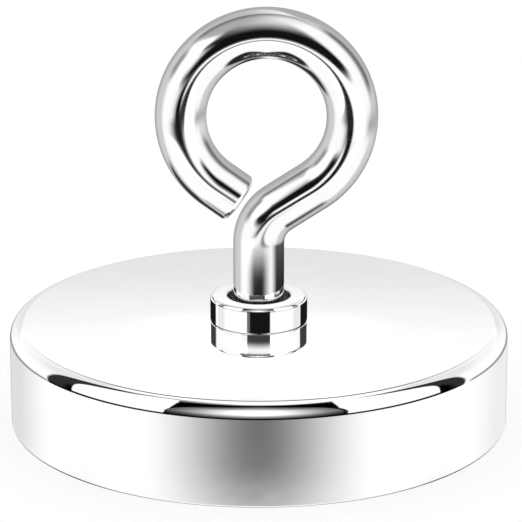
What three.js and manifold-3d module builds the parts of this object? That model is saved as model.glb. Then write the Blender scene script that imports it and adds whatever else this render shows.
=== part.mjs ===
// A single-sided fishing magnet: a plated steel pot with a ring magnet bonded into it, and an
// eyebolt through its middle that takes the rope. A round collar on the bolt bears on the pot,
// and a nut with two washers clamps it from the recess inside the ring magnet.
// Millimetres, +Z up. The origin is the centre of the pull face, and the eye lies in the XZ plane.

import * as THREE from "three";
import { mergeVertices } from "three/addons/utils/BufferGeometryUtils.js";
import Module from "manifold-3d";

const wasm = await Module();
wasm.setup();

// Pot, an open cup whose rim is the pull face.
const POT_RADIUS = 37.5;
const POT_HEIGHT = 15.25;
const POT_WALL = 4.5;
const POT_FLOOR = 4.4;
const POT_TOP_FILLET = 2.1;
const POT_EDGE_CHAMFER = 0.25;
const BOLT_HOLE_RADIUS = 4.5;

// Ring magnet, and the resin that holds and seals it.
const MAGNET_RADIUS = 31.5;
const MAGNET_BORE = 12;
const MAGNET_CHAMFER = 0.4;
const MAGNET_SETBACK = 0.3;
const BOND_THICKNESS = 0.3;
const POTTING_SETBACK = 0.15;
const BORE_LINING = 1;
const RESIN_GAP = 0.02;

// Eyebolt: the rod is threaded to its lower end and bent into an open eye at its upper end.
const ROD_RADIUS = 3.82;
const BOLT_TIP_Z = 0.3;
const BEND_START_Z = 27.4;
const BEND_RADIUS = 6.37;
const EYE_LEAN = THREE.MathUtils.degToRad(57);
const LEAN_LENGTH = 6.16;
const EYE_RADIUS = 12.7;
const EYE_END = THREE.MathUtils.degToRad(234);
const EYE_TAIL = 4.2;
const ROD_END_CHAMFER = 0.7;

// Right-hand metric M8 thread. Female threads are the male one moved outwards by the clearance.
const PITCH = 1.25;
const THREAD_MINOR = 3.2;
const THREAD_MAJOR = 3.93;
const THREAD_CREST = 0.18;
const THREAD_ROOT_WIDTH = 0.94;
const THREAD_CLEARANCE = 0.15;
const THREAD_TIP_CHAMFER = 0.8;

// Round collar, and the bead of thread locker in its counterbore.
const COLLAR_RADIUS = 7.3;
const COLLAR_HEIGHT = 3.9;
const COLLAR_CHAMFER = 0.4;
const COUNTERBORE_RADIUS = 4.75;
const COUNTERBORE_DEPTH = 1.2;
const LOCKER_HEIGHT = 0.6;
const LOCKER_GAP = 0.07;
const SHANK_CLEARANCE = 0.1;

// Standard M8 fasteners.
const FLAT_WASHER = { inner: 4.2, outer: 8, height: 1.6, chamfer: 0.2 };
const SPRING_WASHER = { inner: 4.1, outer: 7.4, height: 2, gap: 1.4, slant: 0.9 };
const HEX_NUT = { acrossFlats: 13, height: 6.5 };

// Sides of the polygons that stand for circles. The rod and its threads share one number.
const POT_SIDES = 72;
const COLLAR_SIDES = 48;
const WASHER_SIDES = 40;
const ROD_SIDES = 20;
const EYE_STEPS = 62;
const FILLET_STEPS = 4;

// Heights that follow from the dimensions above.
const POCKET_Z = POT_HEIGHT - POT_FLOOR;
const COLLAR_TOP_Z = POT_HEIGHT + COLLAR_HEIGHT;
const COUNTERBORE_Z = COLLAR_TOP_Z - COUNTERBORE_DEPTH;
const SHANK_START_Z = COUNTERBORE_Z + SHANK_CLEARANCE;
const FLAT_WASHER_Z = POCKET_Z - FLAT_WASHER.height;
const SPRING_WASHER_Z = FLAT_WASHER_Z - SPRING_WASHER.height;
const HEX_NUT_Z = SPRING_WASHER_Z - HEX_NUT.height;

// ---------------------------------------------------------------- solids

// A closed geometry as a solid for cutting and joining.
function solid(geometry) {
  const bare = geometry.clone();
  bare.deleteAttribute("normal");
  bare.deleteAttribute("uv");
  const merged = mergeVertices(bare);
  return new wasm.Manifold(
    new wasm.Mesh({
      numProp: 3,
      vertProperties: merged.getAttribute("position").array,
      triVerts: new Uint32Array(merged.index.array),
    }),
  );
}

// A solid back as a geometry.
function geometryOf(shape) {
  const mesh = shape.getMesh();
  const geometry = new THREE.BufferGeometry();
  geometry.setAttribute("position", new THREE.BufferAttribute(mesh.vertProperties, mesh.numProp));
  geometry.setIndex(new THREE.BufferAttribute(mesh.triVerts, 1));
  const faceted = geometry.toNonIndexed();
  faceted.computeVertexNormals();
  return faceted;
}

// A profile of [radius, height] points, anticlockwise, turned about Z. A profile that touches the
// axis is open there, and any other closes on its first point.
function turned(profile, sides) {
  const points = profile.map(([radius, height]) => new THREE.Vector2(radius, height));
  const onAxis = profile[0][0] === 0;
  if (!onAxis) points.push(points[0].clone());
  return new THREE.LatheGeometry(points, sides).rotateX(Math.PI / 2);
}

// Points of an arc in a profile, from one angle to another in degrees.
function arcPoints(radius, height, arcRadius, from, to) {
  const points = [];
  for (let step = 0; step <= FILLET_STEPS; step += 1) {
    const angle = THREE.MathUtils.degToRad(from + ((to - from) * step) / FILLET_STEPS);
    points.push([radius + arcRadius * Math.cos(angle), height + arcRadius * Math.sin(angle)]);
  }
  return points;
}

// A ring of rectangular section, with its four edges chamfered if a chamfer is given.
function ring(inner, outer, low, high, sides, chamfer = 0) {
  if (chamfer === 0) {
    return turned([[inner, low], [outer, low], [outer, high], [inner, high]], sides);
  }
  const profile = [
    [inner + chamfer, low],
    [outer - chamfer, low],
    [outer, low + chamfer],
    [outer, high - chamfer],
    [outer - chamfer, high],
    [inner + chamfer, high],
    [inner, high - chamfer],
    [inner, low + chamfer],
  ];
  return turned(profile, sides);
}

// A regular polygon of the given radius, as an outline to extrude.
function polygon(radius, sides, startAngle = 0) {
  const points = [];
  for (let side = 0; side < sides; side += 1) {
    const angle = startAngle + (2 * Math.PI * side) / sides;
    points.push(new THREE.Vector2(radius * Math.cos(angle), radius * Math.sin(angle)));
  }
  return new THREE.Shape(points);
}

// Wraps a straight bar around Z. The bar's section is (radius, height), and its length counts
// turns, each of which falls by the drop.
function wrapped(bar, drop) {
  const position = bar.getAttribute("position");
  for (let index = 0; index < position.count; index += 1) {
    const radius = position.getX(index);
    const height = position.getY(index);
    const turns = position.getZ(index);
    const angle = -2 * Math.PI * turns;
    position.setXYZ(index, radius * Math.cos(angle), radius * Math.sin(angle), height - drop * turns);
  }
  return bar;
}

// ---------------------------------------------------------------- thread

// The ridge of the thread, from above the top height to below the bottom height. Its crest
// passes angle 0 at whole pitches, so that male and female threads are always in mesh.
function threadRidge(clearance, bottom, top) {
  const minor = THREAD_MINOR + clearance;
  const major = THREAD_MAJOR + clearance;
  const buried = minor - 0.3;
  const root = THREAD_ROOT_WIDTH / 2;
  const crest = THREAD_CREST / 2;
  const section = new THREE.Shape([
    new THREE.Vector2(buried, -root),
    new THREE.Vector2(minor, -root),
    new THREE.Vector2(major, -crest),
    new THREE.Vector2(major, crest),
    new THREE.Vector2(minor, root),
    new THREE.Vector2(buried, root),
  ]);
  const firstPitch = Math.round(top / PITCH);
  const turns = firstPitch - Math.floor(bottom / PITCH) + 1;
  const bar = new THREE.ExtrudeGeometry(section, {
    depth: turns,
    steps: turns * ROD_SIDES,
    bevelEnabled: false,
  });
  return solid(wrapped(bar, PITCH).translate(0, 0, firstPitch * PITCH));
}

// A threaded rod. With a clearance it is the tap that cuts the female thread.
function threadedRod(clearance, bottom, top, coreTop) {
  const core = [[0, bottom], [THREAD_MINOR + clearance, bottom], [THREAD_MINOR + clearance, coreTop], [0, coreTop]];
  return solid(turned(core, ROD_SIDES)).add(threadRidge(clearance, bottom, top));
}

// The tap for a female thread that runs right through a piece.
function tap(bottom, top) {
  return threadedRod(THREAD_CLEARANCE, bottom - PITCH, top + PITCH, top + PITCH);
}

// ---------------------------------------------------------------- pot and magnet

function potShell() {
  const pocketRadius = POT_RADIUS - POT_WALL;
  const filletRadius = POT_RADIUS - POT_TOP_FILLET;
  const filletZ = POT_HEIGHT - POT_TOP_FILLET;
  const profile = [
    [pocketRadius + POT_EDGE_CHAMFER, 0],
    [POT_RADIUS - POT_EDGE_CHAMFER, 0],
    [POT_RADIUS, POT_EDGE_CHAMFER],
    ...arcPoints(filletRadius, filletZ, POT_TOP_FILLET, 0, 90),
    [BOLT_HOLE_RADIUS + POT_EDGE_CHAMFER, POT_HEIGHT],
    [BOLT_HOLE_RADIUS, POT_HEIGHT - POT_EDGE_CHAMFER],
    [BOLT_HOLE_RADIUS, POCKET_Z + POT_EDGE_CHAMFER],
    [BOLT_HOLE_RADIUS + POT_EDGE_CHAMFER, POCKET_Z],
    [pocketRadius, POCKET_Z],
    [pocketRadius, POT_EDGE_CHAMFER],
  ];
  return turned(profile, POT_SIDES);
}

function ringMagnet() {
  const top = POCKET_Z - BOND_THICKNESS;
  return ring(MAGNET_BORE, MAGNET_RADIUS, MAGNET_SETBACK, top, POT_SIDES, MAGNET_CHAMFER);
}

function magnetBond() {
  return ring(MAGNET_BORE, MAGNET_RADIUS, POCKET_Z - BOND_THICKNESS, POCKET_Z, POT_SIDES);
}

// Resin between the magnet and the pot's wall.
function outerPotting() {
  const outer = POT_RADIUS - POT_WALL - RESIN_GAP;
  return ring(MAGNET_RADIUS + RESIN_GAP, outer, POTTING_SETBACK, POCKET_Z, POT_SIDES);
}

// Resin that lines the magnet's bore and leaves room for the nut and a socket.
function boreLining() {
  const outer = MAGNET_BORE - RESIN_GAP;
  return ring(MAGNET_BORE - BORE_LINING, outer, MAGNET_SETBACK, POCKET_Z, POT_SIDES);
}

// ---------------------------------------------------------------- eyebolt

// A circular arc in the XZ plane, between two angles measured from +X towards +Z.
class UprightArc extends THREE.Curve {
  constructor(centreX, centreZ, radius, startAngle, endAngle) {
    super();
    this.centre = new THREE.Vector2(centreX, centreZ);
    this.radius = radius;
    this.startAngle = startAngle;
    this.endAngle = endAngle;
  }

  getPoint(t, target = new THREE.Vector3()) {
    const angle = THREE.MathUtils.lerp(this.startAngle, this.endAngle, t);
    const x = this.centre.x + this.radius * Math.cos(angle);
    const z = this.centre.y + this.radius * Math.sin(angle);
    return target.set(x, 0, z);
  }
}

// The rod's centreline above its thread: up the bolt's axis, over to the right, along the lean,
// round the eye anticlockwise, and straight to the end beside the shank.
function eyePath() {
  const bend = new UprightArc(BEND_RADIUS, BEND_START_Z, BEND_RADIUS, Math.PI, Math.PI - EYE_LEAN);
  const bendEnd = bend.getPoint(1);
  const lean = new THREE.Vector3(Math.sin(EYE_LEAN), 0, Math.cos(EYE_LEAN));
  const eyeStart = bendEnd.clone().addScaledVector(lean, LEAN_LENGTH);
  const eyeX = eyeStart.x - EYE_RADIUS * Math.cos(EYE_LEAN);
  const eyeZ = eyeStart.z + EYE_RADIUS * Math.sin(EYE_LEAN);
  const eye = new UprightArc(eyeX, eyeZ, EYE_RADIUS, -EYE_LEAN, EYE_END);
  const tail = new THREE.Vector3(-Math.sin(EYE_END), 0, Math.cos(EYE_END));
  const rodEnd = eye.getPoint(1).addScaledVector(tail, EYE_TAIL);
  const path = new THREE.CurvePath();
  path.add(new THREE.LineCurve3(new THREE.Vector3(0, 0, SHANK_START_Z), bend.getPoint(0)));
  path.add(bend);
  path.add(new THREE.LineCurve3(bendEnd, eyeStart));
  path.add(eye);
  path.add(new THREE.LineCurve3(eye.getPoint(1), rodEnd));
  return { path, rodEnd, tail };
}

// The ring of metal that a chamfer takes off a rod whose end face is at the origin, facing +Z.
function chamferRing(radius, chamfer) {
  const margin = 0.5;
  const profile = [
    [radius + margin, -chamfer - margin],
    [radius + 2 * margin + chamfer, margin],
    [radius - chamfer - margin, margin],
  ];
  return turned(profile, ROD_SIDES);
}

function eyebolt() {
  const { path, rodEnd, tail } = eyePath();
  const rod = new THREE.ExtrudeGeometry(polygon(ROD_RADIUS, ROD_SIDES), {
    steps: EYE_STEPS,
    extrudePath: path,
  });
  const upwards = new THREE.Vector3(0, 0, 1);
  const turnToEnd = new THREE.Quaternion().setFromUnitVectors(upwards, tail);
  const endChamfer = chamferRing(ROD_RADIUS, ROD_END_CHAMFER).applyQuaternion(turnToEnd);
  endChamfer.translate(rodEnd.x, rodEnd.y, rodEnd.z);
  const tipRadius = THREAD_MAJOR - THREAD_TIP_CHAMFER;
  const envelope = [
    [0, BOLT_TIP_Z],
    [tipRadius, BOLT_TIP_Z],
    [tipRadius + PITCH, BOLT_TIP_Z + PITCH],
    [tipRadius + PITCH, COLLAR_TOP_Z],
    [0, COLLAR_TOP_Z],
  ];
  const threadTop = COUNTERBORE_Z - PITCH / 2;
  const coreTop = SHANK_START_Z + PITCH / 2;
  const thread = threadedRod(0, BOLT_TIP_Z - PITCH, threadTop, coreTop);
  const trimmed = thread.intersect(solid(turned(envelope, ROD_SIDES * 2)));
  return geometryOf(solid(rod).subtract(solid(endChamfer)).add(trimmed));
}

// ---------------------------------------------------------------- collar and fasteners

function roundCollar() {
  const profile = [
    [THREAD_MINOR, POT_HEIGHT],
    [COLLAR_RADIUS - COLLAR_CHAMFER / 2, POT_HEIGHT],
    [COLLAR_RADIUS, POT_HEIGHT + COLLAR_CHAMFER / 2],
    [COLLAR_RADIUS, COLLAR_TOP_Z - COLLAR_CHAMFER],
    [COLLAR_RADIUS - COLLAR_CHAMFER, COLLAR_TOP_Z],
    [COUNTERBORE_RADIUS + COLLAR_CHAMFER / 2, COLLAR_TOP_Z],
    [COUNTERBORE_RADIUS, COLLAR_TOP_Z - COLLAR_CHAMFER / 2],
    [COUNTERBORE_RADIUS, COUNTERBORE_Z],
    [THREAD_MINOR, COUNTERBORE_Z],
  ];
  return geometryOf(solid(turned(profile, COLLAR_SIDES)).subtract(tap(POT_HEIGHT, COUNTERBORE_Z)));
}

function threadLocker() {
  const inner = ROD_RADIUS + LOCKER_GAP;
  const outer = COUNTERBORE_RADIUS - LOCKER_GAP;
  return ring(inner, outer, 0, LOCKER_HEIGHT, WASHER_SIDES);
}

function flatWasher() {
  const { inner, outer, height, chamfer } = FLAT_WASHER;
  return ring(inner, outer, 0, height, WASHER_SIDES, chamfer);
}

// A split ring, flat when it is clamped, with its two ends cut on a slant.
function springWasher() {
  const { inner, outer, height, gap, slant } = SPRING_WASHER;
  const middleRadius = (inner + outer) / 2;
  const gapTurns = gap / (2 * Math.PI * middleRadius);
  const slantTurns = slant / (2 * Math.PI * middleRadius);
  const section = new THREE.Shape([
    new THREE.Vector2(inner, 0),
    new THREE.Vector2(outer, 0),
    new THREE.Vector2(outer, height),
    new THREE.Vector2(inner, height),
  ]);
  const bar = new THREE.ExtrudeGeometry(section, {
    depth: 1 - gapTurns,
    steps: WASHER_SIDES,
    bevelEnabled: false,
  });
  const position = bar.getAttribute("position");
  for (let index = 0; index < position.count; index += 1) {
    const lean = slantTurns * (position.getY(index) / height - 0.5);
    position.setZ(index, position.getZ(index) + gapTurns / 2 + lean);
  }
  return wrapped(bar, 0);
}

// A hexagon whose corners are taken off at both ends by cones.
function hexNut() {
  const { acrossFlats, height } = HEX_NUT;
  const flatRadius = acrossFlats / 2;
  const cornerRadius = flatRadius / Math.cos(Math.PI / 6);
  const cornerDrop = (cornerRadius - flatRadius) * Math.tan(Math.PI / 6) * 2;
  const hexagon = new THREE.ExtrudeGeometry(polygon(cornerRadius, 6), {
    depth: height,
    bevelEnabled: false,
  });
  const cones = [
    [0, -0.01],
    [flatRadius * 0.95, -0.01],
    [cornerRadius, cornerDrop],
    [cornerRadius + 1, cornerDrop],
    [cornerRadius + 1, height - cornerDrop],
    [cornerRadius, height - cornerDrop],
    [flatRadius * 0.95, height + 0.01],
    [0, height + 0.01],
  ];
  const body = solid(hexagon).intersect(solid(turned(cones, COLLAR_SIDES)));
  return geometryOf(body.translate([0, 0, HEX_NUT_Z]).subtract(tap(HEX_NUT_Z, SPRING_WASHER_Z)));
}

// ---------------------------------------------------------------- materials and assembly

function plated(colour, roughness) {
  return new THREE.MeshStandardMaterial({ color: colour, metalness: 1, roughness });
}

function resin(colour) {
  return new THREE.MeshStandardMaterial({ color: colour, metalness: 0, roughness: 0.35 });
}

function piece(name, geometry, material, height = 0) {
  const mesh = new THREE.Mesh(geometry, material);
  mesh.name = name;
  mesh.position.z = height;
  return mesh;
}

function magnetAssembly() {
  const group = new THREE.Group();
  group.add(piece("pot_shell", potShell(), plated(0xdedfe0, 0.06)));
  group.add(piece("ring_magnet", ringMagnet(), plated(0xc4c5c6, 0.22)));
  group.add(piece("magnet_bond", magnetBond(), resin(0xd8c9a0)));
  group.add(piece("outer_potting", outerPotting(), resin(0x1c1d1f)));
  group.add(piece("bore_lining", boreLining(), resin(0x1c1d1f)));
  return group;
}

function eyeAssembly() {
  const group = new THREE.Group();
  group.add(piece("eyebolt", eyebolt(), plated(0xd9dadb, 0.07)));
  group.add(piece("round_collar", roundCollar(), plated(0xdcddde, 0.06)));
  group.add(piece("thread_locker", threadLocker(), resin(0x1d3c8c), COUNTERBORE_Z));
  return group;
}

function clampAssembly() {
  const group = new THREE.Group();
  group.add(piece("flat_washer", flatWasher(), plated(0xc9cacb, 0.2), FLAT_WASHER_Z));
  group.add(piece("spring_washer", springWasher(), plated(0xbfc0c1, 0.25), SPRING_WASHER_Z));
  group.add(piece("hex_nut", hexNut(), plated(0xc6c7c8, 0.2)));
  return group;
}

const fishingMagnet = new THREE.Group();
fishingMagnet.add(magnetAssembly(), eyeAssembly(), clampAssembly());

export default fishingMagnet;
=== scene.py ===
"""Looks of a fishing magnet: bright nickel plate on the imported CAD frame.

Lengths are millimetres unless a comment says metres. Meshes are built in millimetres, and each
point is scaled to metres once.
"""

import math

import bmesh
import bpy
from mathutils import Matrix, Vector, noise


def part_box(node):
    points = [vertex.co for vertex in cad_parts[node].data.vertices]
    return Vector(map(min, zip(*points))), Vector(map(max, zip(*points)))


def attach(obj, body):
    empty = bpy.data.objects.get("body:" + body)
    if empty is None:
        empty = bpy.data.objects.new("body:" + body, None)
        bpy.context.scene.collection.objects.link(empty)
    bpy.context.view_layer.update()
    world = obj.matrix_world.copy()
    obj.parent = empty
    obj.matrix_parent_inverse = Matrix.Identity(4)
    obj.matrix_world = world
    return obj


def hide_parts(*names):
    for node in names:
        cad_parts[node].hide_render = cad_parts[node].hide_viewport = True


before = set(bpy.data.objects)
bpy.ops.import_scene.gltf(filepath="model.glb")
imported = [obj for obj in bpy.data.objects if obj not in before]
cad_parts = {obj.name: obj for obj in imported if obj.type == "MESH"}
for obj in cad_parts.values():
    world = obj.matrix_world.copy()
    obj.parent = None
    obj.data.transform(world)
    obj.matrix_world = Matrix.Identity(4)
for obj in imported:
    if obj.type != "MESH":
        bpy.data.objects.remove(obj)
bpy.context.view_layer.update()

MM = 0.001
TURN = 2 * math.pi

# Metres, because a mesh is cleaned up after its points are scaled.
MERGE_DISTANCE = 1e-7
SLIVER_LENGTH = 1e-8


def cad_size(node):
    """(outer radius, lowest height, highest height) of a CAD node, in millimetres."""
    low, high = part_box(node)
    return high.x / MM, low.z / MM, high.z / MM


POT_RADIUS, _, POT_HEIGHT = cad_size("pot_shell")
MAGNET_RADIUS, MAGNET_FACE, MAGNET_BACK = cad_size("ring_magnet")
POTTING_RADIUS, POTTING_FACE, POCKET_Z = cad_size("outer_potting")
LINING_RADIUS, LINING_FACE, _ = cad_size("bore_lining")
COLLAR_RADIUS, COLLAR_Z, COLLAR_TOP = cad_size("round_collar")
LOCKER_RADIUS, LOCKER_Z, LOCKER_TOP = cad_size("thread_locker")
WASHER_RADIUS, WASHER_Z, WASHER_TOP = cad_size("flat_washer")
SPRING_RADIUS, SPRING_Z, SPRING_TOP = cad_size("spring_washer")
NUT_CORNER, NUT_Z, NUT_TOP = cad_size("hex_nut")
BOLT_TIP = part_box("eyebolt")[0].z / MM

# Pot.
WALL_GAP = 0.02
POT_TOP_FILLET = 2.1
POT_RIM_FILLET = 0.25
POT_POCKET_RADIUS = POTTING_RADIUS + WALL_GAP
BOLT_HOLE = 4.5
HOLE_FILLET = 0.4
POCKET_MOUTH_FILLET = 0.4
POCKET_FLOOR_FILLET = 0.3

# Magnet and resin.
MAGNET_BORE = 12.0
MAGNET_EDGE = 0.4
LINING_BORE = 11.0
MENISCUS = 0.35
MENISCUS_STEPS = 12
SWELL_PER_MM = 0.35
SWELL_HEIGHT = 0.08
GRAIN_PER_MM = 1.3
GRAIN_HEIGHT = 0.02
LOCKER_GAP = 0.05
LOCKER_SAG = 0.25
LOCKER_STEPS = 8

# Eyebolt. The rod is a hair thinner than the CAD's polygon, so that it stays inside its box.
ROD_RADIUS = 3.805
BEND_START = 27.4
BEND_RADIUS = 6.37
EYE_LEAN = math.radians(57)
LEAN_LENGTH = 6.16
EYE_RADIUS = 12.7
EYE_END = math.radians(234)
EYE_TAIL = 4.2
ROD_END_ROUND = 0.75
BEND_STEPS = 24
EYE_STEPS = 150
END_STEPS = 10
SHANK_START = COLLAR_TOP - 1.1

# Thread.
PITCH = 1.25
THREAD_MINOR = 3.2
THREAD_MAJOR = 3.93
THREAD_CREST = 0.18
THREAD_ROOT = 0.94
THREAD_CLEARANCE = 0.15
THREAD_STOP = SHANK_START - 0.1
TIP_CHAMFER = 0.8
RUNOUT_SLOPE = 2
TAPPED_MOUTH = THREAD_MAJOR + THREAD_CLEARANCE

# Collar.
COLLAR_EDGE = 0.5
COLLAR_FOOT_EDGE = 0.2
COUNTERBORE = 4.75
COUNTERBORE_Z = LOCKER_Z
COUNTERBORE_EDGE = 0.25
COUNTERBORE_FILLET = 0.2

# Fasteners.
WASHER_BORE = 4.2
WASHER_UNDER_EDGE = 0.15
WASHER_RIM_EDGE = 0.4
WASHER_BORE_EDGE = 0.3
SPRING_BORE = 4.1
SPRING_BORE_EDGE = 0.15
SPRING_RIM_EDGE = 0.3
SPRING_GAP = 1.4
SPRING_SLANT = 0.9
SPRING_END_EDGE = 0.15
NUT_FLAT = 6.5
NUT_CORNER_LIMIT = NUT_CORNER * 0.99
NUT_FACE_RADIUS = NUT_FLAT * 0.95
NUT_CHAMFER_ANGLE = math.radians(30)

# How finely round shapes are divided. GUARD is how far past an arc a straight stretch gets its
# extra point.
POT_SIDES = 288
COLLAR_SIDES = 160
ROD_SIDES = 72
NUT_SIDES = 96
WASHER_SIDES = 120
ARC_STEP = math.radians(6)
LEAST_ARC_STEPS = 3
GUARD = 0.05

# The angle, in degrees, past which an edge is shaded as sharp.
SHARP_RESIN = 50
SHARP_ROD = 40
SHARP_COLLAR = 50
SHARP_SPRING = 50
SHARP_NUT = 20

# Camera, in metres and radians. The sensor and the lens are in millimetres.
CAMERA_SENSOR = 36
CAMERA_LENS = 202.92
CAMERA_CLIP = 0.01
CAMERA_PLACE = (0.000334, -0.42, 0.15923)
CAMERA_TILT = math.radians(72.2)

# Floor and domes, in metres.
FLOOR_HALF = 3.0
FLOOR_ROUGHNESS = 0.9
FLOOR_GREY = (0.3, 0.3, 0.3, 1)
FLOOR_GLOW = 0.72
DOME_SUBDIVISIONS = 5
WHITE = (1, 1, 1, 1)

# The studio's black, where a light of 1 is white.
BLACK = 0.03

# The direction that a piece mirrors at its outline, seen from the camera's height.
OUTLINE_Y = 0.952
OUTLINE_Z = -0.306


# ---------------------------------------------------------------- meshes

def new_piece(name, columns, closed_round=True, closed_profile=True):
    """A mesh skinned over columns of points, all of one length, in millimetres.

    A column closes on its first point if closed_profile. The last column joins the first if
    closed_round. Points that coincide are merged, so columns may meet on the axis or overlap.
    """
    mesh = bmesh.new()
    grid = [[mesh.verts.new(Vector(point) * MM) for point in column] for column in columns]
    pairs = list(zip(grid, grid[1:]))
    if closed_round:
        pairs.append((grid[-1], grid[0]))
    rows = len(grid[0])
    last_row = rows if closed_profile else rows - 1
    for left, right in pairs:
        for row in range(last_row):
            above = (row + 1) % rows
            mesh.faces.new((left[row], right[row], right[above], left[above]))
    bmesh.ops.remove_doubles(mesh, verts=mesh.verts, dist=MERGE_DISTANCE)
    bmesh.ops.dissolve_degenerate(mesh, edges=mesh.edges, dist=SLIVER_LENGTH)
    open_edges = [edge for edge in mesh.edges if edge.is_boundary]
    if open_edges:
        bmesh.ops.holes_fill(mesh, edges=open_edges)
    bmesh.ops.recalc_face_normals(mesh, faces=mesh.faces)
    data = bpy.data.meshes.new(name)
    mesh.to_mesh(data)
    mesh.free()
    data.shade_smooth()
    piece = bpy.data.objects.new(name, data)
    bpy.context.scene.collection.objects.link(piece)
    return piece


def finish_piece(piece, body, node, material, sharp_angle=None):
    """Gives a piece its CAD body, the node it stands for and its material."""
    if sharp_angle is not None:
        piece.data.set_sharp_from_angle(angle=math.radians(sharp_angle))
    piece.data.materials.append(material)
    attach(piece, body)
    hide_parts(node)
    return piece


def on_circle(radius, height, angle):
    """The point of a turned shape at a radius, a height and an angle."""
    return Vector((radius * math.cos(angle), radius * math.sin(angle), height))


def rounded(corners):
    """A closed profile from (radius, height, rounding) corners, each rounding an arc.

    Straight stretches get a point close to each end, so that flat faces stay flat when shaded.
    """
    points = []
    count = len(corners)
    for index, (radius, height, rounding) in enumerate(corners):
        corner = Vector((radius, height))
        before = (Vector(corners[index - 1][:2]) - corner).normalized()
        after = (Vector(corners[(index + 1) % count][:2]) - corner).normalized()
        if rounding == 0:
            points.append(corner)
            continue
        half = before.angle(after) / 2
        reach = rounding / math.tan(half)
        centre = corner + (before + after).normalized() * (rounding / math.sin(half))
        start = corner + before * reach - centre
        end = corner + after * reach - centre
        sweep = start.angle(end)
        steps = max(LEAST_ARC_STEPS, math.ceil(sweep / ARC_STEP))
        points.append(corner + before * (reach + GUARD))
        for step in range(steps + 1):
            share = step / steps
            blend = start * math.sin((1 - share) * sweep) + end * math.sin(share * sweep)
            points.append(centre + blend / math.sin(sweep))
        points.append(corner + after * (reach + GUARD))
    return points


def turned(name, profile, sides, shake=None):
    """A closed profile turned about Z. shake, if given, moves each point a little."""
    columns = []
    for side in range(sides):
        angle = TURN * side / sides
        column = [on_circle(radius, height, angle) for radius, height in profile]
        columns.append([shake(point) for point in column] if shake else column)
    return new_piece(name, columns)


# ---------------------------------------------------------------- thread

def thread_radius(height, angle, clearance):
    """The radius of the right-hand thread's surface at a height and an angle."""
    phase = height / PITCH - angle / TURN
    from_crest = abs(phase - round(phase)) * PITCH
    flank = (from_crest - THREAD_CREST / 2) / (THREAD_ROOT / 2 - THREAD_CREST / 2)
    depth = min(max(flank, 0.0), 1.0)
    return THREAD_MAJOR - (THREAD_MAJOR - THREAD_MINOR) * depth + clearance


def thread_heights(low, high, angle):
    """Heights of a thread's rows at an angle, from low to high, the same number at any angle."""
    within_pitch = (-0.5, -THREAD_ROOT / 2 / PITCH, -0.25, -THREAD_CREST / 2 / PITCH,
                    THREAD_CREST / 2 / PITCH, 0.25, THREAD_ROOT / 2 / PITCH)
    first = math.floor(low / PITCH) - 1
    last = math.ceil(high / PITCH) + 1
    heights = []
    for pitch in range(first, last):
        for part in within_pitch:
            height = PITCH * (pitch + part + angle / TURN)
            heights.append(min(max(height, low), high))
    return heights


# ---------------------------------------------------------------- pot and magnet

def pot_shell(material):
    profile = rounded([
        (POT_POCKET_RADIUS, 0, POCKET_MOUTH_FILLET),
        (POT_RADIUS, 0, POT_RIM_FILLET),
        (POT_RADIUS, POT_HEIGHT, POT_TOP_FILLET),
        (BOLT_HOLE, POT_HEIGHT, HOLE_FILLET),
        (BOLT_HOLE, POCKET_Z, HOLE_FILLET),
        (POT_POCKET_RADIUS, POCKET_Z, POCKET_FLOOR_FILLET),
    ])
    piece = turned("pot_body", profile, POT_SIDES)
    return finish_piece(piece, "pot", "pot_shell", material)


def ring_magnet(material):
    profile = rounded([
        (MAGNET_BORE, MAGNET_FACE, MAGNET_EDGE),
        (MAGNET_RADIUS, MAGNET_FACE, MAGNET_EDGE),
        (MAGNET_RADIUS, MAGNET_BACK, MAGNET_EDGE),
        (MAGNET_BORE, MAGNET_BACK, MAGNET_EDGE),
    ])
    piece = turned("magnet_body", profile, POT_SIDES)
    return finish_piece(piece, "pot", "ring_magnet", material)


def resin_ring(name, node, inner, outer, face, material):
    """Cast resin, whose free face sags between the walls that it wets."""
    profile = [Vector((outer, POCKET_Z)), Vector((inner, POCKET_Z))]
    for step in range(MENISCUS_STEPS + 1):
        share = step / MENISCUS_STEPS
        sag = MENISCUS * math.sin(math.pi * share)
        profile.append(Vector((inner + (outer - inner) * share, face + sag)))

    def uneven(point):
        if point.z > face + 2 * MENISCUS:
            return point
        swell = noise.noise(point * SWELL_PER_MM) * SWELL_HEIGHT
        grain = noise.noise(point * GRAIN_PER_MM) * GRAIN_HEIGHT
        return point + Vector((0, 0, max(swell + grain, 0)))

    piece = turned(name, profile, POT_SIDES, uneven)
    return finish_piece(piece, "pot", node, material, SHARP_RESIN)


# ---------------------------------------------------------------- eyebolt

def eye_line():
    """Centreline of the rod above its thread: (point, tangent) pairs from collar to free end."""
    line = [(Vector((0, 0, SHANK_START)), Vector((0, 0, 1)))]
    bend_centre = Vector((BEND_RADIUS, 0, BEND_START))
    for step in range(BEND_STEPS + 1):
        angle = EYE_LEAN * step / BEND_STEPS
        spoke = Vector((-math.cos(angle), 0, math.sin(angle)))
        tangent = Vector((math.sin(angle), 0, math.cos(angle)))
        line.append((bend_centre + spoke * BEND_RADIUS, tangent))
    bend_end, lean = line[-1]
    across = Vector((math.cos(EYE_LEAN), 0, -math.sin(EYE_LEAN)))
    eye_centre = bend_end + lean * LEAN_LENGTH - across * EYE_RADIUS
    for step in range(EYE_STEPS + 1):
        angle = -EYE_LEAN + (EYE_END + EYE_LEAN) * step / EYE_STEPS
        spoke = Vector((math.cos(angle), 0, math.sin(angle)))
        tangent = Vector((-math.sin(angle), 0, math.cos(angle)))
        line.append((eye_centre + spoke * EYE_RADIUS, tangent))
    roll_end, heading = line[-1]
    line.append((roll_end + heading * EYE_TAIL, heading))
    return line


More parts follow.
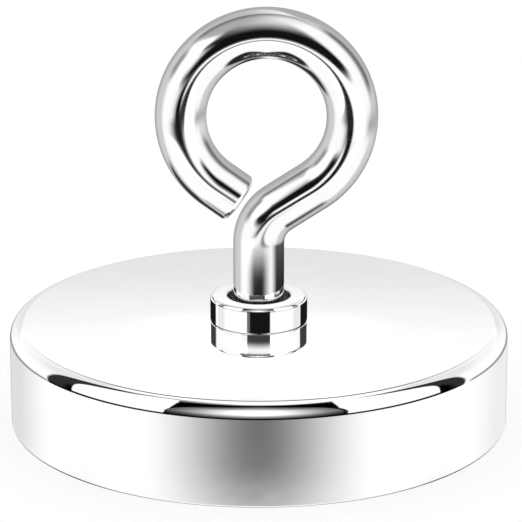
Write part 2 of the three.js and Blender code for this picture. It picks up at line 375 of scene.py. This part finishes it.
def rod_rings():
    """Rings round the rod above its thread, as (point, tangent, radius), with a rounded end."""
    line = eye_line()
    rod_end, heading = line.pop()
    rings = [(point, tangent, ROD_RADIUS) for point, tangent in line]
    rings.append((rod_end - heading * (ROD_END_ROUND + GUARD), heading, ROD_RADIUS))
    for step in range(END_STEPS + 1):
        angle = math.pi / 2 * step / END_STEPS
        inset = ROD_END_ROUND * (1 - math.cos(angle))
        back = ROD_END_ROUND * (1 - math.sin(angle))
        rings.append((rod_end - heading * back, heading, ROD_RADIUS - inset))
    rings.append((rod_end, heading, ROD_RADIUS - ROD_END_ROUND - GUARD))
    rings.append((rod_end, heading, 0))
    return rings


def eyebolt(material):
    rings = rod_rings()
    columns = []
    for side in range(ROD_SIDES + 1):
        angle = TURN * side / ROD_SIDES
        column = [Vector((0, 0, BOLT_TIP))]
        for height in thread_heights(BOLT_TIP, THREAD_STOP, angle):
            tip = THREAD_MAJOR - TIP_CHAMFER + (height - BOLT_TIP)
            runout = THREAD_MINOR + max(0, SHANK_START - PITCH / 2 - height) * RUNOUT_SLOPE
            radius = min(thread_radius(height, angle, 0), tip, runout)
            column.append(on_circle(radius, height, angle))
        for point, tangent, radius in rings:
            across = Vector((tangent.z, 0, -tangent.x))
            offset = across * math.cos(angle) + Vector((0, 1, 0)) * math.sin(angle)
            column.append(point + offset * radius)
        columns.append(column)
    piece = new_piece("eyebolt_rod", columns, closed_round=False, closed_profile=False)
    return finish_piece(piece, "eye", "eyebolt", material, SHARP_ROD)


# ---------------------------------------------------------------- collar and fasteners

def tapped(name, sides, outside, low, high):
    """A piece with a female thread. outside gives its outer profile at an angle, going up."""
    columns = []
    for side in range(sides + 1):
        angle = TURN * side / sides
        column = [on_circle(radius, height, angle) for radius, height in outside(angle)]
        for height in reversed(thread_heights(low, high, angle)):
            mouth = TAPPED_MOUTH - min(height - low, high - height)
            radius = max(thread_radius(height, angle, THREAD_CLEARANCE), mouth)
            column.append(on_circle(radius, height, angle))
        columns.append(column)
    return new_piece(name, columns, closed_round=False)


def round_collar(material):
    profile = rounded([
        (TAPPED_MOUTH, COLLAR_Z, 0),
        (COLLAR_RADIUS, COLLAR_Z, COLLAR_FOOT_EDGE),
        (COLLAR_RADIUS, COLLAR_TOP, COLLAR_EDGE),
        (COUNTERBORE, COLLAR_TOP, COUNTERBORE_EDGE),
        (COUNTERBORE, COUNTERBORE_Z, COUNTERBORE_FILLET),
        (TAPPED_MOUTH, COUNTERBORE_Z, 0),
    ])
    piece = tapped("collar_body", COLLAR_SIDES, lambda angle: profile, COLLAR_Z, COUNTERBORE_Z)
    return finish_piece(piece, "eye", "round_collar", material, SHARP_COLLAR)


def thread_locker(material):
    """A cured bead in the bottom of the counterbore, drawn up a little at both walls."""
    inner = ROD_RADIUS + LOCKER_GAP
    profile = [Vector((inner, LOCKER_Z)), Vector((LOCKER_RADIUS, LOCKER_Z))]
    for step in range(LOCKER_STEPS + 1):
        share = step / LOCKER_STEPS
        sag = LOCKER_SAG * math.sin(math.pi * share)
        profile.append(Vector((LOCKER_RADIUS + (inner - LOCKER_RADIUS) * share, LOCKER_TOP - sag)))
    piece = turned("locker_bead", profile, COLLAR_SIDES)
    return finish_piece(piece, "eye", "thread_locker", material, SHARP_RESIN)


def flat_washer(material):
    profile = rounded([
        (WASHER_BORE, WASHER_Z, WASHER_UNDER_EDGE),
        (WASHER_RADIUS, WASHER_Z, WASHER_UNDER_EDGE),
        (WASHER_RADIUS, WASHER_TOP, WASHER_RIM_EDGE),
        (WASHER_BORE, WASHER_TOP, WASHER_BORE_EDGE),
    ])
    piece = turned("flat_washer_disc", profile, WASHER_SIDES)
    return finish_piece(piece, "flat_washer", "flat_washer", material)


def spring_washer(material):
    """A split ring with its two ends cut on a slant."""
    section = rounded([
        (SPRING_BORE, SPRING_Z, SPRING_BORE_EDGE),
        (SPRING_RADIUS, SPRING_Z, SPRING_RIM_EDGE),
        (SPRING_RADIUS, SPRING_TOP, SPRING_RIM_EDGE),
        (SPRING_BORE, SPRING_TOP, SPRING_BORE_EDGE),
    ])
    middle = (SPRING_BORE + SPRING_RADIUS) / 2
    height = SPRING_TOP - SPRING_Z
    half_gap = SPRING_GAP / middle / 2
    centre = Vector((middle, (SPRING_Z + SPRING_TOP) / 2))
    edge = SPRING_END_EDGE
    stations = [(half_gap, 0.0), (half_gap, 1 - edge / height), (half_gap + edge / middle, 1.0)]
    for step in range(1, WASHER_SIDES):
        stations.append((half_gap + (TURN - 2 * half_gap) * step / WASHER_SIDES, 1.0))
    stations += [(TURN - angle, size) for angle, size in reversed(stations[:3])]
    columns = []
    for station, size in stations:
        column = []
        for point in section:
            radius, level = centre + (point - centre) * size
            lean = SPRING_SLANT / middle * ((level - SPRING_Z) / height - 0.5)
            column.append(on_circle(radius, level, -(station + lean)))
        columns.append(column)
    piece = new_piece("spring_washer_ring", columns, closed_round=False)
    return finish_piece(piece, "spring_washer", "spring_washer", material,
                        SHARP_SPRING)


def hex_nut(material):
    sixth = math.pi / 3

    def outside(angle):
        past_flat = angle % sixth - sixth / 2
        side = min(NUT_FLAT / math.cos(past_flat), NUT_CORNER_LIMIT)
        drop = (side - NUT_FACE_RADIUS) * math.tan(NUT_CHAMFER_ANGLE)
        return [
            (TAPPED_MOUTH, NUT_Z),
            (NUT_FACE_RADIUS, NUT_Z),
            (side, NUT_Z + drop),
            (side, NUT_TOP - drop),
            (NUT_FACE_RADIUS, NUT_TOP),
            (TAPPED_MOUTH, NUT_TOP),
        ]

    piece = tapped("hex_nut_body", NUT_SIDES, outside, NUT_Z, NUT_TOP)
    return finish_piece(piece, "nut", "hex_nut", material, SHARP_NUT)


# ---------------------------------------------------------------- materials

class Nodes:
    """A small helper for building a node material."""

    def __init__(self, name):
        self.material = bpy.data.materials.new(name)
        self.material.use_nodes = True
        self.tree = self.material.node_tree
        self.shader = self.tree.nodes["Principled BSDF"]
        self.place = self.add("ShaderNodeTexCoord").outputs["Object"]

    def add(self, kind, **inputs):
        node = self.tree.nodes.new(kind)
        for socket, value in inputs.items():
            self.put(node.inputs[socket.replace("_", " ")], value)
        return node

    def put(self, socket, value):
        if isinstance(value, bpy.types.NodeSocket):
            self.tree.links.new(value, socket)
        else:
            socket.default_value = value

    def noise(self, scale, detail=3.0, stretch=(1, 1, 1)):
        place = self.add("ShaderNodeMapping", Vector=self.place, Scale=stretch)
        return self.add("ShaderNodeTexNoise", Vector=place.outputs[0], Scale=scale,
                        Detail=detail).outputs["Fac"]

    def blend(self, fac, low, high):
        """A number or colour that goes from low to high with fac."""
        ramp = self.add("ShaderNodeMix")
        colour = isinstance(low, tuple)
        ramp.data_type, kind = ("RGBA", "RGBA") if colour else ("FLOAT", "VALUE")
        self.put(ramp.inputs["Factor"], fac)
        first, second = [socket for socket in ramp.inputs
                         if socket.name in "AB" and socket.type == kind]
        self.put(first, (*low, 1) if colour else low)
        self.put(second, (*high, 1) if colour else high)
        return [socket for socket in ramp.outputs if socket.type == kind][0]

    def bump(self, height, strength, distance):
        bump = self.add("ShaderNodeBump", Strength=strength, Distance=distance, Height=height)
        self.put(self.shader.inputs["Normal"], bump.outputs["Normal"])


def nickel(name, dark, light, smooth, dull):
    """Polished nickel plate with faint wear in its gloss and a hint of ripple."""
    nodes = Nodes(name)
    cloud = nodes.noise(90.0)
    wipe = nodes.noise(700.0, 6.0, (1, 1, 0.25))
    shader = nodes.shader.inputs
    shader["Metallic"].default_value = 1.0
    nodes.put(shader["Base Color"], nodes.blend(cloud, dark, light))
    nodes.put(shader["Roughness"], nodes.blend(wipe, smooth, dull))
    nodes.bump(nodes.noise(160.0, 2.0), 0.04, 0.0001)
    return nodes.material


def resin(name, dark, light, smooth, dull):
    """Cured resin, mottled in colour and gloss, and slightly lumpy."""
    nodes = Nodes(name)
    shader = nodes.shader.inputs
    nodes.put(shader["Base Color"], nodes.blend(nodes.noise(400.0, 5.0), dark, light))
    nodes.put(shader["Roughness"], nodes.blend(nodes.noise(900.0), smooth, dull))
    nodes.bump(nodes.noise(600.0, 4.0), 0.25, 0.0002)
    return nodes.material


# ---------------------------------------------------------------- object

BRIGHT_NICKEL = nickel("bright_nickel", (0.93, 0.93, 0.935), (0.97, 0.97, 0.972), 0.02, 0.05)
EYE_NICKEL = nickel("eye_nickel", (0.92, 0.92, 0.925), (0.96, 0.96, 0.962), 0.05, 0.085)
MAGNET_NICKEL = nickel("magnet_nickel", (0.62, 0.62, 0.62), (0.72, 0.72, 0.72), 0.18, 0.3)
ZINC = nickel("zinc", (0.60, 0.62, 0.64), (0.72, 0.74, 0.76), 0.16, 0.3)
SPRING_ZINC = nickel("spring_zinc", (0.50, 0.51, 0.52), (0.62, 0.63, 0.64), 0.2, 0.36)
BLACK_RESIN = resin("black_resin", (0.012, 0.012, 0.014), (0.03, 0.03, 0.033), 0.12, 0.35)
AMBER_RESIN = resin("amber_resin", (0.42, 0.30, 0.12), (0.60, 0.46, 0.22), 0.2, 0.4)
# The thread locker bead is real matter, but its near-black colour is painted shade: it darkens the
# gap between the rod and the counterbore.
LOCKER_RESIN_PAINTED_SHADE = resin("locker_resin_painted_shade", (0.004, 0.004, 0.004), (0.01, 0.01, 0.01), 0.5, 0.7)

pot = pot_shell(BRIGHT_NICKEL)
magnet = ring_magnet(MAGNET_NICKEL)
outer_resin = resin_ring("outer_resin", "outer_potting",
                         MAGNET_RADIUS + WALL_GAP, POTTING_RADIUS, POTTING_FACE, BLACK_RESIN)
bore_resin = resin_ring("bore_resin", "bore_lining",
                        LINING_BORE, LINING_RADIUS, LINING_FACE, BLACK_RESIN)
eye = eyebolt(EYE_NICKEL)
collar = round_collar(BRIGHT_NICKEL)
locker = thread_locker(LOCKER_RESIN_PAINTED_SHADE)
flat = flat_washer(ZINC)
spring = spring_washer(SPRING_ZINC)
nut = hex_nut(ZINC)

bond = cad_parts["magnet_bond"]
bond.data.materials.clear()
bond.data.materials.append(AMBER_RESIN)

inside = [magnet, outer_resin, bore_resin, flat, spring, nut, bond]


# ---------------------------------------------------------------- studio
#
# The pot, the collar and the eye each mirror a backdrop of their own, a wide dome that gives off
# light by direction. A card is a small dome close about the object. What a piece mirrors in it
# depends on the place on the piece too, so it lights only a part of what mirrors one direction.
# Elevations and azimuths are in degrees, and a light of 1 is white.

class Field:
    """A number that varies over a backdrop, worked out by shader nodes."""

    def __init__(self, nodes, socket):
        self.nodes = nodes
        self.socket = socket

    def math(self, operation, *others):
        node = self.nodes.tree.nodes.new("ShaderNodeMath")
        node.operation = operation
        for socket, value in zip(node.inputs, (self, *others)):
            self.nodes.put(socket, value.socket if isinstance(value, Field) else value)
        return Field(self.nodes, node.outputs[0])

    def clipped(self, shape, start, end):
        node = self.nodes.tree.nodes.new("ShaderNodeMapRange")
        node.interpolation_type = shape
        self.nodes.put(node.inputs["Value"], self.socket)
        self.nodes.put(node.inputs["From Min"], start)
        self.nodes.put(node.inputs["From Max"], end)
        return Field(self.nodes, node.outputs[0])

    def smooth(self, start, end):
        """0 before start, 1 after end, and an S-curve between them."""
        return self.clipped("SMOOTHSTEP", start, end)

    def ramp(self, start, end):
        """0 before start, 1 after end, and a straight line between them."""
        return self.clipped("LINEAR", start, end)

    def __add__(self, other):
        return self.math("ADD", other)

    def __mul__(self, other):
        return self.math("MULTIPLY", other)

    def __sub__(self, other):
        return self.math("SUBTRACT", other)

    def __rsub__(self, other):
        return self * -1 + other

    def __neg__(self):
        return self * -1

    def __abs__(self):
        return self.math("ABSOLUTE")

    def __pow__(self, power):
        return self.math("POWER", power)

    __radd__ = __add__
    __rmul__ = __mul__


class Directions:
    """Where a spot on a backdrop lies, as seen from its middle.

    x, y and z are the unit direction. az is the azimuth, 0 in front and 90 on the right, and el
    is the elevation.
    """

    def __init__(self, nodes):
        unit = nodes.tree.nodes.new("ShaderNodeVectorMath")
        unit.operation = "NORMALIZE"
        nodes.put(unit.inputs[0], nodes.place)
        parts = nodes.add("ShaderNodeSeparateXYZ", Vector=unit.outputs[0]).outputs
        self.x, self.y, self.z = [Field(nodes, socket) for socket in parts]
        self.az = self.x.math("ARCTAN2", -self.y) * math.degrees(1)
        self.el = self.z.math("ARCSINE") * math.degrees(1)


def mix(below, above, mask):
    """below where the mask is 0, and above where it is 1."""
    return below + (above - below) * mask


def between(field, low, high, soft):
    """1 from low to high and 0 elsewhere, with each end softened by soft either way."""
    return field.smooth(low - soft, low + soft) * (1 - field.smooth(high - soft, high + soft))


def bell(field, width):
    """1 where the field is 0, falling off in a bell curve of that standard deviation."""
    return (field * field * (-0.5 / width ** 2)).math("EXPONENT")


def outline(d, start, end):
    """1 in what a piece mirrors at its outline, which lies straight behind it and below."""
    return (OUTLINE_Y * d.y + OUTLINE_Z * d.z).smooth(start, end)


def pot_studio(d):
    """What the pot mirrors: the back in its flat top, the floor in its side, all in its fillet."""
    x, y, z, az, el = d.x, d.y, d.z, d.az, d.el
    away = abs(az)
    in_front = (-y).smooth(-0.15, 0)

    # The back wall greys downwards, and a dark slot parts it from the ceiling.
    wall = 1.08 - 0.27 * away.smooth(140, 172) * (1 - el.smooth(17.6, 19.8))
    ceiling = 1.0 - 0.16 * el.smooth(26, 38)
    light = mix(wall, ceiling, el.smooth(20.6, 20.9))
    light = mix(light, 0.05, between(el, 21.2, 37, 1.0) * away.smooth(171, 176))

    # Overhead it is black as far as an arch, which reaches further back at the sides.
    arch_end = (0.02 + 0.40 * (-x).smooth(0.03, 0.22) + 0.34 * x.smooth(0.08, 0.38)
                - 0.11 * abs(x).ramp(0.3, 0.9))
    arch = 1 - (y - 0.22 * z * z - arch_end).smooth(-0.02, 0.02)
    light = mix(light, BLACK, arch)

    # A glow in the middle of the front fades out upwards and downwards.
    glow = el.ramp(-16, 22) ** 2 * (-el).ramp(-92, -46) ** 2 * (bell(az + 1, 18.4) * 1.4)
    light = mix(light, glow, in_front)

    # A white box on each side has black about its inner end.
    left_side = -(0.749 * x - 0.663 * y + 0.02 * z)
    right_side = 0.788 * x + 0.616 * y - 0.02 * z
    left_end = 0.334 * y - 0.943 * x + 0.069 * z - 0.374
    right_end = 0.949 * x + 0.314 * y + 0.039 * z - 0.321
    under = 0.5 * z * z - y
    left_tip = left_end.ramp(0, 0.15) * (under + 0.02).ramp(0, 0.3)
    right_tip = right_end.ramp(0, 0.15) * (under - 0.04).ramp(0, 0.3)
    left = left_side.smooth(0, 0.012) * left_tip.smooth(0.015, 0.05)
    right = right_side.smooth(0.02, 0.032) * right_tip.smooth(0.015, 0.05)
    frames = left_side.smooth(-0.02, 0) + right_side.smooth(-0.02, 0)
    light = light * (1 - frames * in_front)
    light = mix(light, 1.1, (left + right) * el.smooth(-9, -6))

    # The floor is grey in the middle of the front, and dark further under the pot.
    left_shade = 0.12 * (1 - az.smooth(-10, 10))
    floor_light = 0.18 + 0.9 * away.smooth(0, 58) - (0.2 + left_shade) * away.smooth(105, 150)
    below = mix(1.05, 0.02, y.smooth(-0.3, 0.1))
    floor_light = mix(below, floor_light, el.smooth(-24, -21.5))
    light = mix(floor_light, light, el.smooth(-17.4, -16.8))

    # A line along the floor's far edge is black in front and grey behind.
    line_end = (1 - (az + 4).smooth(103, 106)) * (1 - (-az - 4).smooth(103, 106))
    light = mix(light, 0.0, between(el, -17.2, -10, 0.3) * line_end)
    light = mix(light, 0.35, between(el, -17.2, -9, 0.3) * away.smooth(108, 112))
    return light * (1 - 0.55 * outline(d, 0.972, 0.99))


def pot_card(d):
    """Fills in the middle of the pot's top when it is seen from higher up."""
    back = d.el.smooth(30, 42) * (1 - d.el.smooth(43, 47)) * abs(d.az).smooth(150, 165)
    return 0.35 * d.el.smooth(54.5, 61) + back


def collar_studio(d):
    """What the collar mirrors: stripes low down, for its side, and the pot's studio above."""
    az, el = d.az, d.el
    away = abs(az)
    stripes = 1.06 - 0.2 * away.smooth(84, 96) * (1 - away.smooth(112, 116))
    stripes = mix(stripes, 0.01, az.smooth(115, 119) + (-az).smooth(121, 126))
    stripes = mix(stripes, 0.16, between(az, -28, -10, 1.2))
    stripes = mix(stripes, 0.008, between(az, -21, 27, 1.2))
    light = mix(pot_studio(d), stripes, 1 - el.smooth(-16, -13))

    # This band is for the collar's side in the pot's top, and for its top in the rod.
    facing = between(el, 13.5, 23, 0.5) * (1 - away.smooth(160, 168))
    sides = between(az, -123, -45, 4) + between(az, 28, 75, 2)
    light = mix(light, 0.05 + sides, facing)
    behind = mix(0.84, 1.06, el.smooth(18.1, 18.7))
    return mix(light, behind, between(el, 14, 22, 0.5) * away.smooth(160, 168))


def collar_card(d):
    """Completes the collar's side in the pot's top, and fades it out in front."""
    az, el = d.az, d.el
    sides = between(az, -52, -24.5, 1.1) + between(az, 24.5, 104, 1.1)
    fade = el.smooth(38.4, 40.6) * (1 - abs(az).smooth(60, 95))
    top_edge = el - 1.5 * az.smooth(30, 105)
    return (sides + fade) * el.smooth(34.2, 34.8) * (1 - top_edge.smooth(41.1, 41.7))


def eye_studio(d):
    """What the eye mirrors: white walls, a dark wedge up the front, and streaks about them."""
    x, y, az, el = d.x, d.y, d.az, d.el
    away = abs(az)
    light = 1.04 - 0.40 * away.smooth(78, 100) - 0.2 * away.smooth(118, 150)

    # Overhead, lighter on the right, with a thin dark line across.
    top = 0.43 + 0.5 * x.smooth(-0.3, 0.35) + 0.1 * y.smooth(0.27, 0.36)
    top = top * (1 - 0.45 * bell(y - 0.16, 0.1)) * (1 - 0.5 * bell(y - 0.25, 0.03))
    light = mix(light, top, (el - 24 * x.smooth(-0.1, 0.35)).smooth(31, 45))

    # An upright grey strip on each side.
    light = light * (1 - 0.65 * bell(az + 88, 10) * between(el, 12, 44, 6))
    light = light * (1 - 0.75 * bell(az - 108, 12) * between(el, 2, 48, 6))

    # The wedge is black at its foot and lightens upwards.
    half_width = 34 * el.ramp(-10, 11) + 16 * bell(el - 3, 9)
    wedge = 1 - (abs(az + 3) - half_width).smooth(-9, 8)
    shade = 0.006 + (0.67 + 0.7 * x) * el.smooth(19, 70)
    light = mix(light, shade, wedge * el.smooth(-9, -5) * (1 - el.smooth(56, 72)))

    # Under it, a dark lobe for the lean and two dark bands for the upright shank.
    lobe = (bell(az + 9, 14) * bell(el + 12.5, 6) * 1.3).ramp(0, 1)
    light = light * (1 - lobe)
    light = mix(light, 0.01, (1 - away.smooth(12, 64)) * between(el, -21.6, -14, 1.8))
    light = light * (1 - az.smooth(54, 92) * bell(el + 18, 5))

    # Low down it is white, but for dark patches that the eye's undersides mirror.
    light = mix(light, 1.0, away.smooth(150, 172) * (-el).smooth(22, 36))
    light = mix(light, 0.02, (-el).smooth(60, 66) * (2 * abs(x) + y).smooth(-0.16, 0))
    left_patch = (-az).smooth(95, 120) * (1 - (-az).smooth(168, 176))
    light = mix(light, BLACK, left_patch * between(el, -58, -36, 3))
    light = mix(light, BLACK, between(az, 159, 177.5, 4) * between(el, -60, -24, 6))
    return light * (1 - 0.6 * outline(d, 0.92, 0.975))


def eye_card(d):
    """Lights the eye's ring where only the shank or the lean should stay dark."""
    az, el = d.az, d.el
    left_az = -az
    front = (1 - abs(az + 5).smooth(24, 66)) * el.smooth(-21.5, -16.3) * (1 - el.smooth(-14, -9.5))
    crown = (1 - abs(az).smooth(8, 16)) * between(el, -2.2, 6, 1.8)
    right = az.smooth(8, 16) * (1 - az.smooth(44, 64)) * between(el, -12, 9, 4)
    left = left_az.smooth(22, 38) * (1 - left_az.smooth(56, 80)) * el.smooth(10, 24)
    left = left * (1 - (el - 13 * left_az.smooth(34, 52)).smooth(28, 36))
    high = between(az, -92, -44, 14) * between(el, 43, 51, 6)
    side = 0.5 * az.smooth(62, 95) * (1 - az.smooth(160, 178)) * bell(el + 8.5, 5.7)
    return front + crown + right + left + high + side


def backdrop(name, radius, height, studio, receivers):
    """A dome about a point on the Z axis, in metres, that only the receivers mirror.

    Every other ray passes through it.
    """
    mesh = bmesh.new()
    bmesh.ops.create_icosphere(mesh, subdivisions=DOME_SUBDIVISIONS, radius=radius)
    data = bpy.data.meshes.new(name)
    mesh.to_mesh(data)
    mesh.free()
    dome = bpy.data.objects.new(name, data)
    dome.location.z = height
    bpy.context.scene.collection.objects.link(dome)
    nodes = Nodes(name)
    glow = nodes.add("ShaderNodeEmission", Strength=studio(Directions(nodes)).socket)
    clear = nodes.add("ShaderNodeBsdfTransparent")
    both = nodes.tree.nodes.new("ShaderNodeAddShader")
    nodes.put(both.inputs[0], glow.outputs[0])
    nodes.put(both.inputs[1], clear.outputs[0])
    nodes.put(nodes.tree.nodes["Material Output"].inputs["Surface"], both.outputs[0])
    nodes.tree.nodes.remove(nodes.shader)
    nodes.material.cycles.emission_sampling = "NONE"
    data.materials.append(nodes.material)
    dome.visible_camera = False
    dome.visible_diffuse = False
    dome.visible_shadow = False
    linked = bpy.data.collections.new(name + "_receivers")
    for piece in receivers:
        linked.objects.link(piece)
    dome.light_linking.receiver_collection = linked


def camera():
    data = bpy.data.cameras.new("camera")
    data.sensor_width = CAMERA_SENSOR
    data.lens = CAMERA_LENS
    data.clip_start = CAMERA_CLIP
    item = bpy.data.objects.new("camera", data)
    item.location = CAMERA_PLACE
    item.rotation_euler = (CAMERA_TILT, 0, 0)
    bpy.context.scene.collection.objects.link(item)
    bpy.context.scene.camera = item


def floor():
    """A plain floor that nothing mirrors, and that glows a little so that shadows stay faint."""
    half = FLOOR_HALF
    mesh = bpy.data.meshes.new("floor")
    corners = [(-half, -half, 0), (half, -half, 0), (half, half, 0), (-half, half, 0)]
    mesh.from_pydata(corners, [], [(0, 1, 2, 3)])
    plane = bpy.data.objects.new("floor", mesh)
    bpy.context.scene.collection.objects.link(plane)
    nodes = Nodes("floor_white")
    shader = nodes.shader.inputs
    shader["Roughness"].default_value = FLOOR_ROUGHNESS
    shader["Specular IOR Level"].default_value = 0
    shader["Base Color"].default_value = FLOOR_GREY
    shader["Emission Color"].default_value = WHITE
    shader["Emission Strength"].default_value = FLOOR_GLOW
    nodes.material.cycles.emission_sampling = "NONE"
    plane.data.materials.append(nodes.material)
    plane.visible_glossy = False


def white_world():
    """White all round, but not in reflections, which come from the domes."""
    world = bpy.data.worlds.new("world")
    world.use_nodes = True
    world.node_tree.nodes["Background"].inputs["Color"].default_value = WHITE
    world.cycles_visibility.glossy = False
    bpy.context.scene.world = world
    bpy.context.scene.view_settings.view_transform = "Standard"


camera()
floor()
white_world()
backdrop("pot_backdrop", 20, 0, pot_studio, [pot, *inside])
backdrop("pot_card", 0.06, 0, pot_card, [pot])
backdrop("collar_backdrop", 22, 0, collar_studio, [collar, locker])
backdrop("collar_card", 0.04, 0, collar_card, [collar, locker])
backdrop("eye_backdrop", 24, 0, eye_studio, [eye])
backdrop("eye_card", 0.1, 0.03, eye_card, [eye])

# The pot's top mirrors the collar alone, so no reflection shows the other pieces.
for hidden in (pot, eye, *inside):
    hidden.visible_glossy = False
